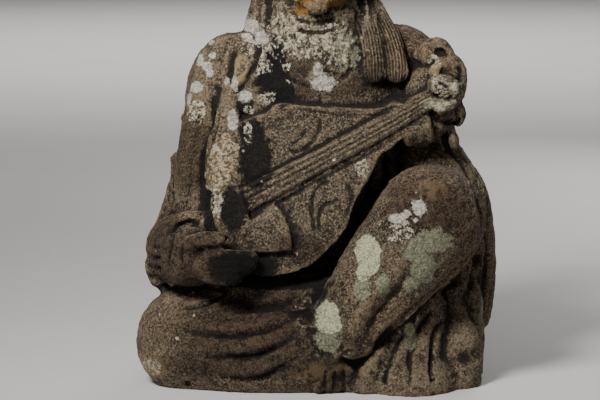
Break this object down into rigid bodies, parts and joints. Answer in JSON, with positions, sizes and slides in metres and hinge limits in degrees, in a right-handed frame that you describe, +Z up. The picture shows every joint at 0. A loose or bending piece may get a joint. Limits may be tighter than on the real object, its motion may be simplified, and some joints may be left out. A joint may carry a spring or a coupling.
{
  "type": "seated stone statue",
  "caption": "Stone figure seated with one knee raised, playing a short-necked lute, carved in the round from one block with a flat underside.",
  "frame": {"origin": "on the ground plane under the middle of the figure", "axes": "+Z up, the figure faces -Y, +X is the figure's left"},
  "size_m": [0.3658, 0.2882, 0.5491],
  "materials": {
    "stone": "weathered, granular, with patches of pale lichen"
  },
  "bodies": {
    "root": {"statue": "stone"}
  },
  "joints": []
}
